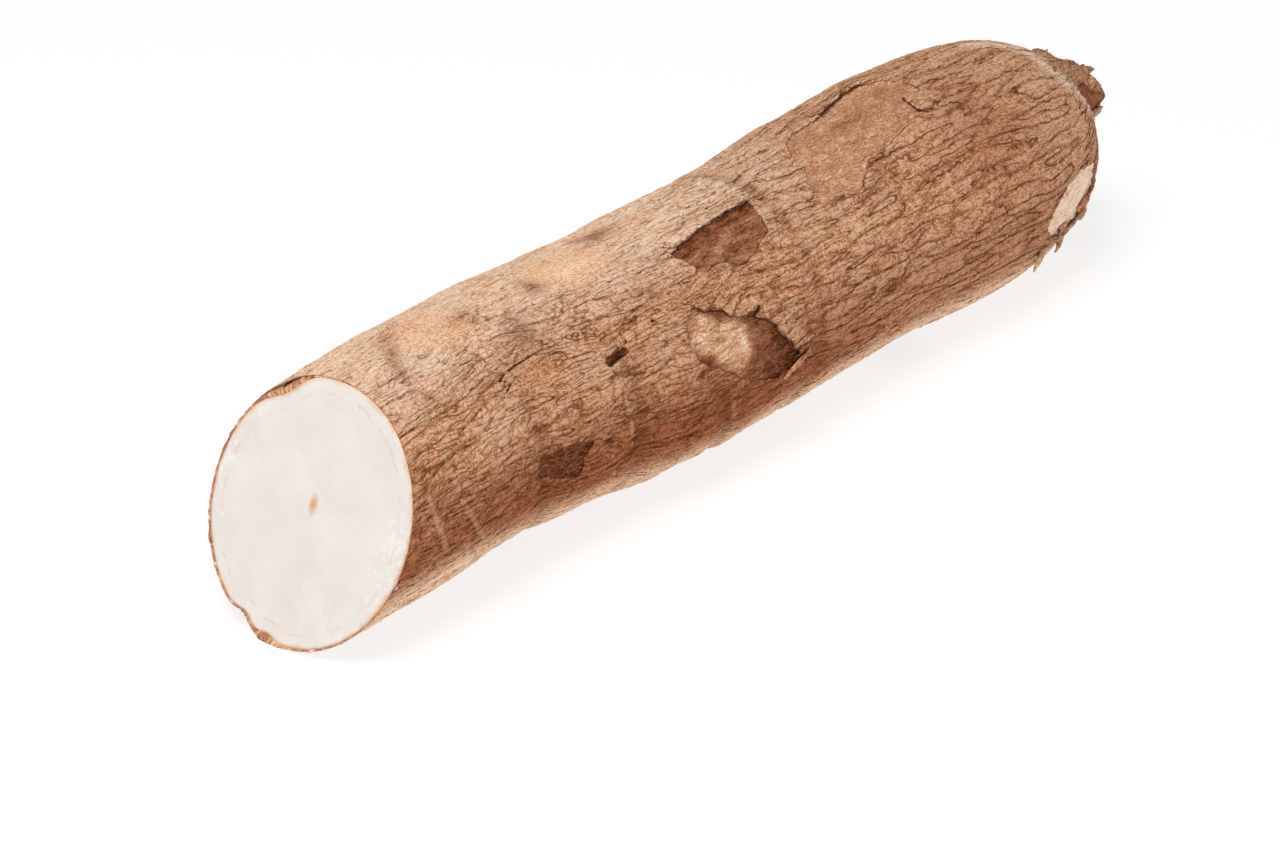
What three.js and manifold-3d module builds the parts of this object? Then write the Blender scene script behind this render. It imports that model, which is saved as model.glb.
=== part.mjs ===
// One cassava root, cut across near its thin end and lying on its side.
//
// The root grew as one piece, so the part is one solid: a thick, slightly wavy body with round shoulders,
// the slanted face that the knife left at one end, and the short woody neck where it hung from the stem at
// the other. It lies on two narrow flats, one under the middle and one under the shoulder.
//
// Millimetres, +Z up. +X runs along the root from the cut to the neck. The origin is on the surface that the
// root lies on, under the middle of its bounding box.

import * as THREE from "three";
import { mergeVertices } from "three/addons/utils/BufferGeometryUtils.js";
import Module from "manifold-3d";

const wasm = await Module();
wasm.setup();

// ---- driving dimensions -------------------------------------------------------------------------------

const ROOT_LENGTH = 306; // from the middle of the cut to the tip of the shoulder
const SHOULDER_LENGTH = 60; // the stretch that rounds off towards the neck
const SHOULDER_FULLNESS = 2.4; // 2 is a quarter of an ellipse, more is blunter
const CUT_LEAN = 0.39; // the cut's slope: how far it runs back along the root per mm of height
const CUT_SKEW = -0.04; // and per mm across
const CUT_EASE = 70; // the sections turn from the cut's slant to upright over this length

// How the root swells and bends, every 25 mm from the cut. A section is an ellipse: half its width, the
// height of its crown and of its underside, and how far it lies to the side. An underside below zero is
// pressed flat by the surface that it lies on.
const STATION_STEP = 25;
const STATIONS = [
  { halfWidth: 30.5, crown: 61.5, underside: 0.4, side: 0.0 },
  { halfWidth: 31.0, crown: 63.5, underside: 1.2, side: 1.0 },
  { halfWidth: 31.0, crown: 64.0, underside: 2.4, side: 2.5 },
  { halfWidth: 31.0, crown: 63.5, underside: 2.0, side: 3.0 },
  { halfWidth: 31.5, crown: 63.0, underside: 0.4, side: 3.0 },
  { halfWidth: 32.5, crown: 64.0, underside: -0.8, side: 2.5 },
  { halfWidth: 32.5, crown: 64.5, underside: -0.8, side: 2.5 },
  { halfWidth: 32.5, crown: 65.0, underside: 0.2, side: 3.0 },
  { halfWidth: 33.0, crown: 66.0, underside: 0.2, side: 4.5 },
  { halfWidth: 34.0, crown: 67.5, underside: -0.2, side: 5.5 },
  { halfWidth: 34.0, crown: 67.5, underside: -0.8, side: 5.5 },
];

// The growth rings: low swellings across the root.
const SWELLINGS = [34, 76, 100, 128, 158, 196, 232];
const SWELLING_HEIGHT = 0.45;
const SWELLING_WIDTH = 7;

// The neck: a stub of woody stem, snapped off at a slant.
const NECK_RADIUS = 12.5;
const NECK_LENGTH = 18;
const NECK_ROOT = new THREE.Vector3(292, 4, 39);
const NECK_POINTS = new THREE.Vector3(1, 0.05, 0.28); // the way it points
const NECK_SNAP = 0.3; // slope of its broken end
const NECK_FLARE = [1.45, 1.2, 1.04, 1, 1.02]; // its radius from the shoulder to the break, over NECK_RADIUS
const NECK_RIBS = { count: 3, depth: 0.07, turn: 0.6 }; // the broad ribs of its bark
const NECK_FOLDS = { count: 7, depth: 0.04, turn: 0 }; // and the finer folds on them

// How finely the solid is faceted.
const AROUND = 64;
const NECK_AROUND = 32;
const RING_STEP = 5;
const SHOULDER_RINGS = 15;
const WELD = 1e-4; // points closer than this are one point

// ---- the body's form ----------------------------------------------------------------------------------

const sections = new THREE.CubicInterpolant(
  STATIONS.map((_, i) => i * STATION_STEP),
  STATIONS.flatMap((s) => [s.halfWidth, s.crown, s.underside, s.side]),
  4,
);
const LAST_STATION = (STATIONS.length - 1) * STATION_STEP;

// The height of the growth rings above the plain surface, at x along the root.
function swelling(x) {
  return SWELLINGS.reduce(
    (sum, at) => sum + SWELLING_HEIGHT * Math.exp(-(((x - at) / SWELLING_WIDTH) ** 2)),
    0,
  );
}

// One ring of points round the body at x. fullness is 1 along the body and falls to 0 at the shoulder's tip.
function ring(x, fullness) {
  const [halfWidth, crown, underside, side] = sections.evaluate(Math.min(x, LAST_STATION));
  const middle = (crown + underside) / 2;
  const halfHeight = (crown - underside) / 2;
  const swell = swelling(x);
  const slant = THREE.MathUtils.smoothstep(CUT_EASE - x, 0, CUT_EASE);
  const points = [];
  for (let i = 0; i < AROUND; i++) {
    const angle = (2 * Math.PI * i) / AROUND;
    const y = side + (halfWidth + swell) * fullness * Math.cos(angle);
    const above = (halfHeight + swell) * fullness * Math.sin(angle);
    const z = Math.max(0, middle + above);
    const setBack = slant * (CUT_LEAN * (z - middle) + CUT_SKEW * (y - side));
    points.push(new THREE.Vector3(x + setBack, y, z));
  }
  return points;
}

// ---- closed solids from rings of points ---------------------------------------------------------------

function middleOf(points) {
  return points.reduce((sum, p) => sum.add(p), new THREE.Vector3()).divideScalar(points.length);
}

// A closed geometry through the rings, with a flat fan on each end.
function loft(rings) {
  const around = rings[0].length;
  const points = [...rings.flat(), middleOf(rings[0]), middleOf(rings.at(-1))];
  const firstMiddle = points.length - 2;
  const lastMiddle = points.length - 1;
  const lastRing = (rings.length - 1) * around;
  const faces = [];
  for (let i = 0; i < around; i++) {
    const next = (i + 1) % around;
    for (let r = 0; r < lastRing; r += around) {
      faces.push(r + i, r + next, r + around + i);
      faces.push(r + next, r + around + next, r + around + i);
    }
    faces.push(firstMiddle, next, i);
    faces.push(lastMiddle, lastRing + i, lastRing + next);
  }
  const geometry = new THREE.BufferGeometry().setFromPoints(points);
  geometry.setIndex(faces);
  return geometry;
}

function bodyGeometry() {
  const straight = ROOT_LENGTH - SHOULDER_LENGTH;
  const steps = Math.round(straight / RING_STEP);
  const rings = [];
  for (let i = 0; i <= steps; i++) rings.push(ring((straight * i) / steps, 1));
  for (let i = 1; i < SHOULDER_RINGS; i++) {
    const turn = (Math.PI / 2) * (i / SHOULDER_RINGS);
    const along = Math.sin(turn) ** (2 / SHOULDER_FULLNESS);
    const fullness = Math.cos(turn) ** (2 / SHOULDER_FULLNESS);
    rings.push(ring(straight + SHOULDER_LENGTH * along, fullness));
  }
  return loft(rings);
}

function wave({ count, depth, turn }, angle) {
  return depth * Math.sin(count * angle + turn);
}

// The neck widens into the shoulder at its root and ends in the snapped face.
function neckGeometry() {
  const turned = new THREE.Quaternion().setFromUnitVectors(
    new THREE.Vector3(0, 0, 1),
    NECK_POINTS.clone().normalize(),
  );
  const rings = NECK_FLARE.map((flare, step) => {
    const outwards = step / (NECK_FLARE.length - 1);
    const points = [];
    for (let i = 0; i < NECK_AROUND; i++) {
      const angle = (2 * Math.PI * i) / NECK_AROUND;
      const radius = NECK_RADIUS * flare * (1 + wave(NECK_RIBS, angle) + wave(NECK_FOLDS, angle));
      const p = new THREE.Vector3(radius * Math.cos(angle), radius * Math.sin(angle), 0);
      p.z = outwards * (NECK_LENGTH + NECK_SNAP * p.x);
      points.push(p.applyQuaternion(turned).add(NECK_ROOT));
    }
    return points;
  });
  return loft(rings);
}

// ---- one solid ----------------------------------------------------------------------------------------

function solidOf(geometry) {
  const merged = mergeVertices(geometry, WELD);
  return new wasm.Manifold(
    new wasm.Mesh({
      numProp: 3,
      vertProperties: merged.attributes.position.array,
      triVerts: new Uint32Array(merged.index.array),
    }),
  );
}

function geometryOf(solid) {
  const { vertProperties, triVerts } = solid.getMesh();
  const geometry = new THREE.BufferGeometry();
  geometry.setAttribute("position", new THREE.BufferAttribute(vertProperties, 3));
  geometry.setIndex(new THREE.BufferAttribute(triVerts, 1));
  geometry.computeVertexNormals();
  return geometry;
}

const rootGeometry = geometryOf(solidOf(bodyGeometry()).add(solidOf(neckGeometry())));

// The origin goes under the middle of the bounding box. The flats already lie at height zero.
rootGeometry.computeBoundingBox();
const centre = rootGeometry.boundingBox.getCenter(new THREE.Vector3());
rootGeometry.translate(-centre.x, -centre.y, 0);

const bark = new THREE.MeshStandardMaterial({ color: 0xb0805e, roughness: 0.85, metalness: 0 });

const root = new THREE.Mesh(rootGeometry, bark);
root.name = "cassava_root";

const part = new THREE.Group();
part.add(root);

export default part;
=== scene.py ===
import math

import bpy
import numpy as np
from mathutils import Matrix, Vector, noise
from mathutils.bvhtree import BVHTree
from mathutils.geometry import barycentric_transform


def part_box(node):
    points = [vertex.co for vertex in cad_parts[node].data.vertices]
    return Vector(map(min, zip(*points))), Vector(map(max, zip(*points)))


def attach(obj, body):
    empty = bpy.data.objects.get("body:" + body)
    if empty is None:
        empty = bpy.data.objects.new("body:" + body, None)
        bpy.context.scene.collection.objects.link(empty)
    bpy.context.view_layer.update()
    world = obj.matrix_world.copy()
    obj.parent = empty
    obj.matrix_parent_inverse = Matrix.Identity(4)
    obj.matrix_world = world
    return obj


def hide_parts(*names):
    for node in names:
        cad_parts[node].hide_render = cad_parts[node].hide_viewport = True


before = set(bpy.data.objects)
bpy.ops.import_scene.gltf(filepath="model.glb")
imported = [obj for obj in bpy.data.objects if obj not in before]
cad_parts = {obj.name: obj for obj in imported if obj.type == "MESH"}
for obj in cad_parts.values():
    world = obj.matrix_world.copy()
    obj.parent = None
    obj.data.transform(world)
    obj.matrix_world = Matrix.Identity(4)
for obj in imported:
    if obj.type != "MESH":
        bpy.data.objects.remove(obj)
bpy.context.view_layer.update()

# A cassava root, cut across near its thin end and lying on its side, in metres in the part's own frame.
# The sculpting is done in millimetres. A place on the skin is so many mm along the root from the middle of
# the cut, and so many degrees round it: 0 is the far side, 90 the top and 180 the near side.

MM = 0.001

# ---- what the frame gives, and the root's own dimensions, mm ------------------------------------------

ROOT_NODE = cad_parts["cassava_root"]
BOX_LOW = np.array(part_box("cassava_root")[0]) / MM

CUT_LEAN = 0.39  # the cut runs back this far per mm of height
CUT_SKEW = -0.04  # and per mm across
CUT_EASE = 70.0  # the sections turn from the cut's slant to upright over this length
CUT_MIDDLE = BOX_LOW[0] + 12.0  # where the middle of the cut is along X
BODY_MIDDLE = 31.0  # about how high the body's middle lies
BODY_END = CUT_MIDDLE + 246.0  # from here the shoulder rounds off
SHOULDER_TURN = math.radians(69.0)  # how far the shoulder's sections fan out before the neck begins
NECK_ROOT = np.array([CUT_MIDDLE + 292.0, -0.2, 39.0])
NECK_POINTS = np.array([1.0, 0.05, 0.28]) / np.linalg.norm([1.0, 0.05, 0.28])
NECK_RADIUS = 12.5
NECK_START = 9.0  # the skin goes over from the shoulder to the neck this far along it
NECK_MIDDLE = 12.0  # and the neck is felt from a point this far along it
NECK_LENGTH = 18.0
NECK_SNAP = 3.75  # how much nearer its broken edge is at the top than halfway up
NECK_EDGE_IN = 0.4  # the skin ends this far before that edge
LENGTHWISE = np.array([1.0, 0.0, 0.0])  # from the cut towards the neck

# ---- camera -------------------------------------------------------------------------------------------

VIEW_TARGET = Vector((-29.1, -2.1, 7.1)) * MM
VIEW_DISTANCE = 1.2236
VIEW_AZIMUTH, VIEW_ELEVATION = math.radians(-49.8), math.radians(26.0)
VIEW_LENS, VIEW_SENSOR = 135.0, 36.0  # mm


def add_camera():
    back = Vector(
        (
            math.sin(VIEW_AZIMUTH) * math.cos(VIEW_ELEVATION),
            -math.cos(VIEW_AZIMUTH) * math.cos(VIEW_ELEVATION),
            math.sin(VIEW_ELEVATION),
        )
    )
    bpy.ops.object.camera_add(location=VIEW_TARGET + back * VIEW_DISTANCE)
    camera = bpy.context.object
    camera.name = "camera"
    camera.rotation_euler = back.to_track_quat("Z", "Y").to_euler()
    camera.data.lens = VIEW_LENS
    camera.data.sensor_width = VIEW_SENSOR
    bpy.context.scene.camera = camera


# ---- the root's plain form, felt from the frame -------------------------------------------------------

CAD_SURFACE = BVHTree.FromPolygons(
    [v.co / MM for v in ROOT_NODE.data.vertices],
    [tuple(p.vertices) for p in ROOT_NODE.data.polygons],
)
FEELERS = 128  # directions felt round each section
HARMONICS = 22  # how finely a section's outline is kept
RING_STEP = 2.0
CUT_INSIDE = 1.5  # the first rings are felt this far behind the cut, where every ray meets bark
NECK_TURN = 40.0  # the sections turn towards the neck over this length
NECK_AIM = 6.0  # towards a point this far along it
SHOULDER_RINGS = 48
NECK_RINGS = 7


def smoothstep(x):
    x = np.clip(x, 0.0, 1.0)
    return x * x * (3.0 - 2.0 * x)


def rise(at, start, length):
    """From 0 at a start to 1 a length further on."""
    return smoothstep((at - start) / length)


def unit(v):
    return v / np.linalg.norm(v, axis=-1, keepdims=True)


def touch(origin, direction):
    """Where a line from inside the root meets its surface."""
    hit = CAD_SURFACE.ray_cast(Vector(origin), Vector(direction))[0]
    return np.array(hit)


def cut_slant(x):
    """1 at the cut, where the sections are as slanted as it is, and 0 past its ease."""
    return float(smoothstep((CUT_MIDDLE + CUT_EASE - x) / CUT_EASE))


def middle(x):
    """The middle of the root's section at x."""
    point = np.array([x, 0.0, BODY_MIDDLE])
    across = np.array([CUT_SKEW * cut_slant(x), 1.0, 0.0])
    upright = np.array([CUT_LEAN * cut_slant(x), 0.0, 1.0])
    for _ in range(3):
        point[1] = (touch(point, across)[1] + touch(point, -across)[1]) / 2
        point[2] = (touch(point, upright)[2] + touch(point, -upright)[2]) / 2
    return point


def square_to(axis):
    """Two directions square to an axis: sideways and upwards."""
    side = unit(np.array([0.0, 1.0, 0.0]) - axis[1] * axis)
    return side, np.cross(axis, side)


def section(origin, axis, lean, angles, slant=0.0):
    """One felt ring: rays from its middle, leaning forwards by an angle, or slanted as the cut is."""
    side, up = square_to(axis)
    fan = np.cos(angles)[:, None] * side + np.sin(angles)[:, None] * up
    lean = np.broadcast_to(lean, angles.shape)[:, None]
    rays = np.cos(lean) * fan + np.sin(lean) * axis
    rays[:, 0] += slant * (CUT_LEAN * np.sin(angles) + CUT_SKEW * np.cos(angles))
    return np.array([touch(origin, ray) for ray in rays])


def felt_rings():
    """Rings of points on the frame's solid, from the cut's edge to the neck's broken edge."""
    angles = np.linspace(0, 2 * math.pi, FEELERS, endpoint=False)
    shoulder_middle = middle(BODY_END)
    to_neck = unit(NECK_ROOT + NECK_AIM * NECK_POINTS - shoulder_middle)
    rings = []
    for x in np.arange(CUT_MIDDLE, BODY_END, RING_STEP):
        inside = max(x, CUT_MIDDLE + CUT_INSIDE)
        turn = float(smoothstep((x - BODY_END + NECK_TURN) / NECK_TURN))
        axis = unit((1 - turn) * LENGTHWISE + turn * to_neck)
        ring = section(middle(inside), axis, 0.0, angles, cut_slant(inside))
        rings.append(ring - (inside - x) * LENGTHWISE)
    for lean in np.linspace(0, SHOULDER_TURN, SHOULDER_RINGS):
        rings.append(section(shoulder_middle, to_neck, lean, angles))
    neck_middle = NECK_ROOT + NECK_MIDDLE * NECK_POINTS
    edge = NECK_LENGTH - NECK_SNAP * np.sin(angles) - NECK_EDGE_IN
    for share in np.linspace(0, 1, NECK_RINGS):
        along = NECK_START + share * (edge - NECK_START)
        lean = np.arctan2(along - NECK_MIDDLE, NECK_RADIUS)
        rings.append(section(neck_middle, NECK_POINTS, lean, angles))
    return np.array(rings)


def spaced(points, at, wanted):
    """Points that lie at some distances, moved to others."""
    return np.stack([np.interp(wanted, at, column) for column in points.T], axis=1)


def even_rows(rings, step):
    """Rings spaced evenly along the skin, and their distances from the cut."""
    gaps = np.linalg.norm(np.diff(rings, axis=0), axis=2).mean(axis=1)
    at = np.concatenate([[0.0], np.cumsum(gaps)])
    count = int(round(at[-1] / step)) + 1
    wanted = np.linspace(0, at[-1], count)
    return spaced(rings.reshape(len(rings), -1), at, wanted).reshape(count, -1, 3), wanted


def smooth_rows(rows, passes):
    """Evens the rows out along the root, holding the first and last."""
    for _ in range(passes):
        before = np.concatenate([2 * rows[:1] - rows[1:2], rows[:-1]])
        after = np.concatenate([rows[1:], 2 * rows[-1:] - rows[-2:-1]])
        rows = (before + 2 * rows + after) / 4
    return rows


def round_at(rings, angles):
    """The smooth closed curve through each ring's points, at new angles."""
    waves = np.fft.rfft(rings, axis=1)[:, : HARMONICS + 1] / rings.shape[1]
    order = np.arange(HARMONICS + 1)
    waves *= (np.where(order, 2.0, 1.0) * np.exp(-((order / HARMONICS) ** 4)))[None, :, None]
    turning = np.exp(1j * np.outer(angles, order))
    return np.einsum("ak,rkc->rac", turning, waves).real


# ---- the skin: a sheet of bark rolled round the root --------------------------------------------------

SKIN_AROUND = 392
SKIN_STEP = 1.36
SKIN_SMOOTHINGS = 10
SKIN_RADIUS = 33.0  # a middling radius of the root, at which a turn becomes a length round it
MM_PER_DEGREE = SKIN_RADIUS * math.radians(1.0)
NEAR_SIDE = math.radians(155.0)  # the skin's columns are closest here
NEAR_CLOSER = 0.35
TURNS_TRIED = 4001


def skin_angles():
    """Angles round the root, closer together on the near side."""
    fine = np.linspace(0, 2 * math.pi, TURNS_TRIED)
    turned = fine + NEAR_CLOSER * (np.sin(fine - NEAR_SIDE) + math.sin(NEAR_SIDE))
    return np.interp(np.linspace(0, 2 * math.pi, SKIN_AROUND, endpoint=False), turned, fine)


ANGLES = skin_angles()
ROWS, ALONG = even_rows(round_at(felt_rings(), ANGLES), SKIN_STEP)
ROWS = smooth_rows(ROWS, SKIN_SMOOTHINGS)


def places(rows):
    """Where each point of the skin lies: mm along from the cut's middle, and mm round from the far side."""
    section = rows[:, :, 1:]
    low, high = section.min(axis=1, keepdims=True), section.max(axis=1, keepdims=True)
    level = 2 * (section - low) / (high - low) - 1
    turn = np.arctan2(level[:, :, 1], level[:, :, 0]) % (2 * math.pi)
    return np.stack([rows[:, :, 0] - CUT_MIDDLE, SKIN_RADIUS * turn], axis=2)


PLACES = places(ROWS)
AT_ALONG, AT_ROUND = PLACES[:, :, 0], PLACES[:, :, 1]
AT_TURN = np.degrees(AT_ROUND / SKIN_RADIUS)


def on_skin(points):
    """Points given as mm along and degrees round, as places on the skin."""
    return np.array([(along, MM_PER_DEGREE * turn) for along, turn in points])


def line_distance(points, ring=False):
    """How far each place on the skin is from a line through points."""
    corners = on_skin(points)
    ends = np.roll(corners, -1, axis=0) if ring else corners[1:]
    nearest = np.full(AT_ALONG.shape, np.inf)
    for start, end in zip(corners, ends):
        way = end - start
        share = np.clip(((PLACES - start) @ way) / (way @ way), 0, 1)
        nearest = np.minimum(nearest, np.linalg.norm(PLACES - start - share[:, :, None] * way, axis=2))
    return nearest


def depth_inside(points):
    """How far each place lies inside a closed outline; outside it, less than nothing."""
    corners = on_skin(points)
    inside = np.zeros(AT_ALONG.shape, dtype=bool)
    for (ax, ay), (bx, by) in zip(corners, np.roll(corners, -1, axis=0)):
        crosses = (ay > AT_ROUND) != (by > AT_ROUND)
        reach = (bx - ax) * (AT_ROUND - ay) / (by - ay + 1e-9) + ax
        inside ^= crosses & (AT_ALONG < reach)
    distance = line_distance(points, ring=True)
    return np.where(inside, distance, -distance)


def blot(along, turn, length, width):
    """1 at a place, mm along and degrees round, fading out over a length and a width, mm."""
    off = PLACES - on_skin([(along, turn)])[0]
    return np.exp(-((off[:, :, 0] / length) ** 2) - (off[:, :, 1] / width) ** 2)


def most(layers):
    return np.max(np.array(layers), axis=0)


def blots(table):
    """The strongest at each place of several blots, each with its strength first."""
    return most([strength * blot(*place) for strength, *place in table])


def line(points, width):
    """1 along a line through points, fading out over a width, mm."""
    return np.exp(-((line_distance(points) / width) ** 2))


def nearest_line(lines, limit):
    """How far each place on the skin is from the nearest of some lines, up to a limit."""
    return np.minimum(limit, np.min([line_distance(points) for points in lines], axis=0))


def rolled(rows):
    """The grid with its first column again after its last."""
    return np.concatenate([rows, rows[:, :1]], axis=1)


def outward(rows):
    """The skin's outward direction at each point of the grid."""
    along = np.gradient(rows, axis=0)
    around = np.roll(rows, -1, axis=1) - np.roll(rows, 1, axis=1)
    return unit(np.cross(around, along))


def grid_piece(name, grid, material):
    """A sheet of faces through a grid of points in millimetres."""
    rows, columns = grid.shape[:2]
    bpy.ops.object.select_all(action="DESELECT")
    bpy.ops.mesh.primitive_grid_add(x_subdivisions=columns - 1, y_subdivisions=rows - 1, size=1)
    piece = bpy.context.object
    piece.name = piece.data.name = name
    piece.data.vertices.foreach_set("co", (grid * MM).astype(np.float32).ravel())
    piece.data.materials.append(material)
    return piece


def closed(piece):
    """Welds a rolled sheet's seam and its poles, and turns its faces outwards."""
    bpy.ops.object.select_all(action="DESELECT")
    piece.select_set(True)
    bpy.context.view_layer.objects.active = piece
    bpy.ops.object.mode_set(mode="EDIT")
    bpy.ops.mesh.select_all(action="SELECT")
    bpy.ops.mesh.remove_doubles(threshold=1e-6)
    bpy.ops.mesh.normals_make_consistent(inside=False)
    bpy.ops.object.mode_set(mode="OBJECT")
    bpy.ops.object.shade_smooth()
    return piece


# ---- what happened to the bark ------------------------------------------------------------------------

# Places where the papery bark has come away, as an outline in mm along and degrees round. Tone is the bare
# skin's colour, from 0 for dark to about 1 for pale, mottle is how blotched it is, and sunk its depth, mm.
PATCHES = [
    dict(
        outline=[(201, 85), (206, 82), (216, 79), (225, 78), (231, 84), (234, 98), (231, 108), (227, 112)]
        + [(216, 116), (204, 120), (197, 121), (194, 125), (190, 128), (188, 133), (182, 129), (174, 127)]
        + [(170, 123), (174, 120), (175, 114), (179, 106), (176, 103), (180, 98), (184, 88), (189, 84)],
        tone=0.66, mottle=0.25, sunk=0.6,
    ),
    dict(
        outline=[(119, 115), (130, 111), (143, 109), (153, 109), (152, 116), (151, 122), (150, 127)]
        + [(146, 129), (143, 132), (138, 135), (133, 134), (131, 130), (128, 129), (124, 131)]
        + [(122, 128), (122, 124)],
        tone=0.38, mottle=0.65, sunk=0.75,
    ),
    dict(
        outline=[(114, 142), (116, 146), (121, 148), (123, 152), (125, 154), (131, 154), (134, 155)]
        + [(131, 158), (135, 161), (138, 166), (139, 171), (142, 175), (144, 181), (147, 184)]
        + [(142, 191), (138, 192), (128, 187), (121, 179), (110, 166), (108, 158), (110, 147)],
        tone=0.27, mottle=0.55, sunk=0.5,
    ),
    dict(
        outline=[(51.5, 176), (62, 176.5), (69, 179.5), (67.5, 184), (66, 186), (66.5, 190), (65, 197)]
        + [(57, 191.5), (51, 187)],
        tone=0.12, mottle=0.12, sunk=0.45,
    ),
    dict(
        outline=[(79.5, 147.3), (88.5, 145.3), (89, 148.2), (80.5, 151.2)],
        tone=0.06, mottle=0.2, sunk=0.8,
    ),
    dict(
        outline=[(288, 187), (283, 182), (276, 178), (268, 180), (262, 187), (259, 195), (262, 202)]
        + [(269, 207), (278, 205), (286, 198)],
        tone=1.02, mottle=0.45, sunk=0.5,
    ),
    dict(
        outline=[(299, 118), (302, 140), (304, 160), (310, 180), (313, 196), (306, 198), (301, 184)]
        + [(298, 160), (297, 138)],
        tone=0.3, mottle=0.5, sunk=0.6,
    ),
    # and on the far side and underneath
    dict(
        outline=[(250, 305), (259, 301), (268, 302), (274, 312), (270, 322), (262, 334), (250, 330)]
        + [(246, 318)],
        tone=0.55, mottle=0.4, sunk=0.45,
    ),
    dict(
        outline=[(148, 22), (160, 17), (176, 16), (181, 26), (184, 36), (170, 46), (158, 44), (151, 38)],
        tone=0.5, mottle=0.8, sunk=0.5,
    ),
    dict(
        outline=[(62, 318), (76, 312), (88, 314), (92, 328), (78, 340), (66, 332)],
        tone=0.2, mottle=0.4, sunk=0.5,
    ),
    dict(
        outline=[(206, 236), (219, 231), (226, 243), (214, 252), (203, 247)],
        tone=0.35, mottle=0.7, sunk=0.4,
    ),
]
# Edges where the bark that is left curls up, with how high, mm.
LIPS = [
    ([(201, 85), (206, 82), (216, 79), (225, 78)], 0.6),
    ([(188, 133), (190, 128), (194, 125), (197, 121)], 0.5),
    ([(118, 115), (130, 111), (143, 109), (153, 109)], 0.6),
    ([(151, 122), (150, 127), (143, 132), (138, 135)], 0.4),
    ([(131, 131), (127, 129), (124, 131)], 0.6),
    ([(114, 142), (116, 146), (121, 148), (123, 152), (131, 154), (134, 155)], 0.9),
    ([(131, 158), (135, 161), (138, 166), (139, 171), (142, 175), (144, 181)], 0.8),
    ([(147, 184), (143, 187), (138, 192)], 1.4),
    ([(69, 181), (70, 184), (68, 188), (67, 195)], 0.8),
    ([(80, 152), (84, 151), (89, 149)], 0.3),
    ([(262, 203), (270, 208), (279, 206), (287, 199)], 1.3),
    ([(268, 302), (274, 312), (270, 322)], 0.8),
    ([(148, 22), (160, 17), (176, 16)], 0.9),
    ([(62, 318), (66, 332), (78, 340)], 0.7),
    ([(226, 243), (214, 252)], 0.7),
]
CRACKS = [
    [(100.5, 133), (99.7, 136), (99.5, 139), (101.6, 141)],
    [(46, 134.5), (49, 132.5), (52, 132), (57, 131), (61, 131), (63.5, 133)],
    [(44.5, 142), (48.4, 138), (51.7, 136)],
    [(89.3, 138), (89.6, 142), (88.4, 147.5)],
    [(88.0, 148.4), (83, 149.8), (80, 151.2)],
    [(113, 118), (118, 115.4)],
    [(266, 206), (272, 209), (281, 207), (288, 200)],
    [(200, 20), (206, 24), (214, 23)],
    [(108, 330), (117, 328), (123, 331)],
]
SCARS = [
    [(28, 84), (25, 96), (23, 109)],
    [(21.7, 112), (20.1, 118), (18.9, 131)],
    [(10, 162), (11.5, 176), (15.2, 192)],
    [(18.5, 151), (20.3, 171), (24.7, 186), (30, 200)],
    [(81, 156), (83, 174), (85, 192)],
    [(77, 192), (80, 202), (84, 215)],
    [(121, 191), (124, 205)],
    [(218.5, 142), (218, 157)],
    [(251, 144), (250.5, 156)],
    [(262.5, 162), (264, 176)],
    [(40, 20), (44, 40)],
    [(95, 350), (99, 330), (98, 312)],
    [(186, 300), (190, 322)],
]
# The grooves between growth rings, with how deep, mm. The bark is darker along them.
GROOVES = [
    ([(50, 150), (51.7, 168), (52.3, 189), (57.5, 213), (60, 250)], 1.1),
    ([(114, 170), (115, 180), (119, 192), (123, 208), (127, 250)], 1.0),
    ([(86, 140), (88, 180), (91, 230)], 0.45),
    ([(35, 78), (29, 92), (24, 107)], 0.5),
    ([(160, 300), (156, 330), (158, 10)], 0.7),
]
GROOVE_WIDTH = 2.4
GROOVE_DARKER, GROOVE_DARKER_WIDTH = 0.6, 2.0
# Rings that stand out on the near side: how high, where along, how wide, and from which turn to which.
STOUT_RINGS = [(0.5, 70, 9, 150, 262), (0.5, 104, 8, 170, 262)]
STOUT_FADE = 18.0  # degrees

# Soft places on the root: how high or how strong, then mm along, degrees round, and length and width, mm.
SWELLINGS = [
    (0.7, 121, 164, 18, 16),  # the knot
    (1.6, -12, 278, 5, 4),  # the torn bit under the cut
    (-2.4, -10, 295, 5, 3.5),  # and the notch beside it
]
KNOT_LOBES = [(1.0, 112.5, 153, 7.5, 8), (1.0, 121.5, 167, 7.5, 8.5), (0.9, 116.5, 161, 4.5, 5)]
KNOT_PALE = 0.53
# Painted shade on two patches of bare skin, by their overhanging edges: how much, then mm along, degrees
# round, and length and width, mm.
BARE_PAINTED_SHADE = [(0.18, 140, 175, 7, 9), (0.06, 122, 119, 7, 6)]
RICH_STAINS = [(0.6, 241, 132, 18, 20), (0.65, 12, 168, 12, 10)]
SMUDGES = [
    (0.5, 54, 97, 3, 5),
    (0.8, 78, 97, 3, 4),
    (1.0, 111, 81, 6, 4),
    (0.7, 63, 118, 4, 6),
    (0.9, 206, 97, 9, 3),
    (0.7, 226, 91, 5, 2.5),
    (0.5, 127, 113, 12, 3),
]
RUBBED = [
    (1.0, 38, 153, 7, 7),
    (0.3, 92, 93, 12, 10),
    (0.7, 33, 109, 7, 6),
    (0.6, 76, 148, 9, 7),
    (0.4, 57, 140, 9, 5),
    (0.6, 100, 160, 9, 8),
    (0.5, 170, 140, 14, 5),
    (0.4, 236, 128, 14, 9),
]
CALM = [(1.0, 43, 91, 12, 12), (1.0, 92, 93, 16, 11), (0.8, 57, 140, 9, 5)]

# Painted shade on the bare skin along edges where the bark overhangs it: how much, the line and its width,
# mm.
EDGE_PAINTED_SHADE = [
    (0.3, [(116, 143), (110, 147), (108, 158), (112, 168), (121, 179)], 1.8),
    (0.14, [(118, 117), (130, 112.5), (143, 110.5), (153, 110.5)], 2.5),
]
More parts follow.
